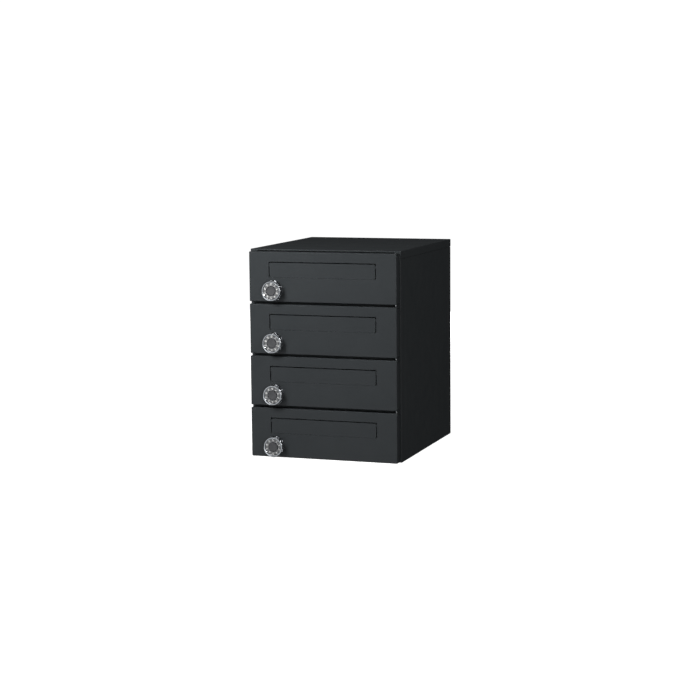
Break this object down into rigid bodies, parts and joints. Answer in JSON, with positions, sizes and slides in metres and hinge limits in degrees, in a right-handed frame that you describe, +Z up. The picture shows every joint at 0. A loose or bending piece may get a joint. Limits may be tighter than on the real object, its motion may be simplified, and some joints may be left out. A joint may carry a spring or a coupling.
{
  "type": "cluster mailbox unit",
  "caption": "Stacked letterbox block in dark sheet steel with side-hinged pan doors, inward letter flaps and round combination dial locks.",
  "frame": {"origin": "centre of the cabinet's footprint on the surface it stands on, not counting the doors and dials", "axes": "+Z up, +Y towards the back panel, so the doors face -Y, and +X to the right as seen from the front, where the doors hinge"},
  "size_m": [0.332, 0.4034, 0.44],
  "materials": {
    "body_paint": "satin fine-texture powder coat, anthracite grey",
    "inner_paint": "satin powder coat, anthracite grey",
    "plated_steel": "bright zinc plate",
    "spring_steel": "drawn wire",
    "case_zinc": "as-cast zinc alloy",
    "dial_chrome": "polished",
    "grip_plastic": "fine matte",
    "wheel_brass": "turned",
    "buffer_rubber": "matte"
  },
  "bodies": {
    "cabinet": {"left_side": "body_paint", "right_side": "body_paint", "bottom_panel": "inner_paint", "top_cap": "body_paint", "back_panel": "inner_paint", "shelves": "inner_paint", "hinge_rod": "plated_steel", "door_buffers": "buffer_rubber"},
    "door_body_1": {"door_1": "body_paint", "flap_rod_1": "plated_steel", "flap_spring_1": "spring_steel", "lock_case_1": "case_zinc", "lock_cover_1": "plated_steel", "lock_nut_1": "plated_steel", "dial_collar_1": "dial_chrome"},
    "flap_body_1": {"flap_1": "body_paint"},
    "dial_body_1": {"dial_1": "dial_chrome", "dial_cap_1": "grip_plastic", "spindle_1": "plated_steel", "code_wheels_1": "wheel_brass"},
    "bolt_body_1": {"latch_bolt_1": "plated_steel"},
    "door_body_2": {"door_2": "body_paint", "flap_rod_2": "plated_steel", "flap_spring_2": "spring_steel", "lock_case_2": "case_zinc", "lock_cover_2": "plated_steel", "lock_nut_2": "plated_steel", "dial_collar_2": "dial_chrome"},
    "flap_body_2": {"flap_2": "body_paint"},
    "dial_body_2": {"dial_2": "dial_chrome", "dial_cap_2": "grip_plastic", "spindle_2": "plated_steel", "code_wheels_2": "wheel_brass"},
    "bolt_body_2": {"latch_bolt_2": "plated_steel"},
    "door_body_3": {"door_3": "body_paint", "flap_rod_3": "plated_steel", "flap_spring_3": "spring_steel", "lock_case_3": "case_zinc", "lock_cover_3": "plated_steel", "lock_nut_3": "plated_steel", "dial_collar_3": "dial_chrome"},
    "flap_body_3": {"flap_3": "body_paint"},
    "dial_body_3": {"dial_3": "dial_chrome", "dial_cap_3": "grip_plastic", "spindle_3": "plated_steel", "code_wheels_3": "wheel_brass"},
    "bolt_body_3": {"latch_bolt_3": "plated_steel"},
    "door_body_4": {"door_4": "body_paint", "flap_rod_4": "plated_steel", "flap_spring_4": "spring_steel", "lock_case_4": "case_zinc", "lock_cover_4": "plated_steel", "lock_nut_4": "plated_steel", "dial_collar_4": "dial_chrome"},
    "flap_body_4": {"flap_4": "body_paint"},
    "dial_body_4": {"dial_4": "dial_chrome", "dial_cap_4": "grip_plastic", "spindle_4": "plated_steel", "code_wheels_4": "wheel_brass"},
    "bolt_body_4": {"latch_bolt_4": "plated_steel"}
  },
  "joints": [
    {"name": "door_hinge_1", "type": "hinge", "parent": "cabinet", "child": "door_body_1", "pos_m": [0.1579, -0.1939, 0.3831], "axis": [0, 0, 1], "range_deg": [0, 110]},
    {"name": "flap_swing_1", "type": "hinge", "parent": "door_body_1", "child": "flap_body_1", "pos_m": [0, -0.1985, 0.3821], "axis": [-1, 0, 0], "range_deg": [0, 70], "stiffness_Nm_per_rad": 0.02, "springref_deg": -45.84, "deforming": ["flap_spring_1"]},
    {"name": "dial_turn_1", "type": "hinge", "parent": "door_body_1", "child": "dial_body_1", "pos_m": [-0.1078, -0.2024, 0.3546], "axis": [0, -1, 0], "continuous": true},
    {"name": "bolt_slide_1", "type": "slide", "parent": "door_body_1", "child": "bolt_body_1", "axis": [-1, 0, 0], "range_m": [0, 0.008]},
    {"name": "door_hinge_2", "type": "hinge", "parent": "cabinet", "child": "door_body_2", "pos_m": [0.1579, -0.1939, 0.2731], "axis": [0, 0, 1], "range_deg": [0, 110]},
    {"name": "flap_swing_2", "type": "hinge", "parent": "door_body_2", "child": "flap_body_2", "pos_m": [0, -0.1985, 0.2721], "axis": [-1, 0, 0], "range_deg": [0, 70], "stiffness_Nm_per_rad": 0.02, "springref_deg": -45.84, "deforming": ["flap_spring_2"]},
    {"name": "dial_turn_2", "type": "hinge", "parent": "door_body_2", "child": "dial_body_2", "pos_m": [-0.1078, -0.2024, 0.2446], "axis": [0, -1, 0], "continuous": true},
    {"name": "bolt_slide_2", "type": "slide", "parent": "door_body_2", "child": "bolt_body_2", "axis": [-1, 0, 0], "range_m": [0, 0.008]},
    {"name": "door_hinge_3", "type": "hinge", "parent": "cabinet", "child": "door_body_3", "pos_m": [0.1579, -0.1939, 0.1631], "axis": [0, 0, 1], "range_deg": [0, 110]},
    {"name": "flap_swing_3", "type": "hinge", "parent": "door_body_3", "child": "flap_body_3", "pos_m": [0, -0.1985, 0.1621], "axis": [-1, 0, 0], "range_deg": [0, 70], "stiffness_Nm_per_rad": 0.02, "springref_deg": -45.84, "deforming": ["flap_spring_3"]},
    {"name": "dial_turn_3", "type": "hinge", "parent": "door_body_3", "child": "dial_body_3", "pos_m": [-0.1078, -0.2024, 0.1346], "axis": [0, -1, 0], "continuous": true},
    {"name": "bolt_slide_3", "type": "slide", "parent": "door_body_3", "child": "bolt_body_3", "axis": [-1, 0, 0], "range_m": [0, 0.008]},
    {"name": "door_hinge_4", "type": "hinge", "parent": "cabinet", "child": "door_body_4", "pos_m": [0.1579, -0.1939, 0.0531], "axis": [0, 0, 1], "range_deg": [0, 110]},
    {"name": "flap_swing_4", "type": "hinge", "parent": "door_body_4", "child": "flap_body_4", "pos_m": [0, -0.1985, 0.0521], "axis": [-1, 0, 0], "range_deg": [0, 70], "stiffness_Nm_per_rad": 0.02, "springref_deg": -45.84, "deforming": ["flap_spring_4"]},
    {"name": "dial_turn_4", "type": "hinge", "parent": "door_body_4", "child": "dial_body_4", "pos_m": [-0.1078, -0.2024, 0.0246], "axis": [0, -1, 0], "continuous": true},
    {"name": "bolt_slide_4", "type": "slide", "parent": "door_body_4", "child": "bolt_body_4", "axis": [-1, 0, 0], "range_m": [0, 0.008]}
  ]
}
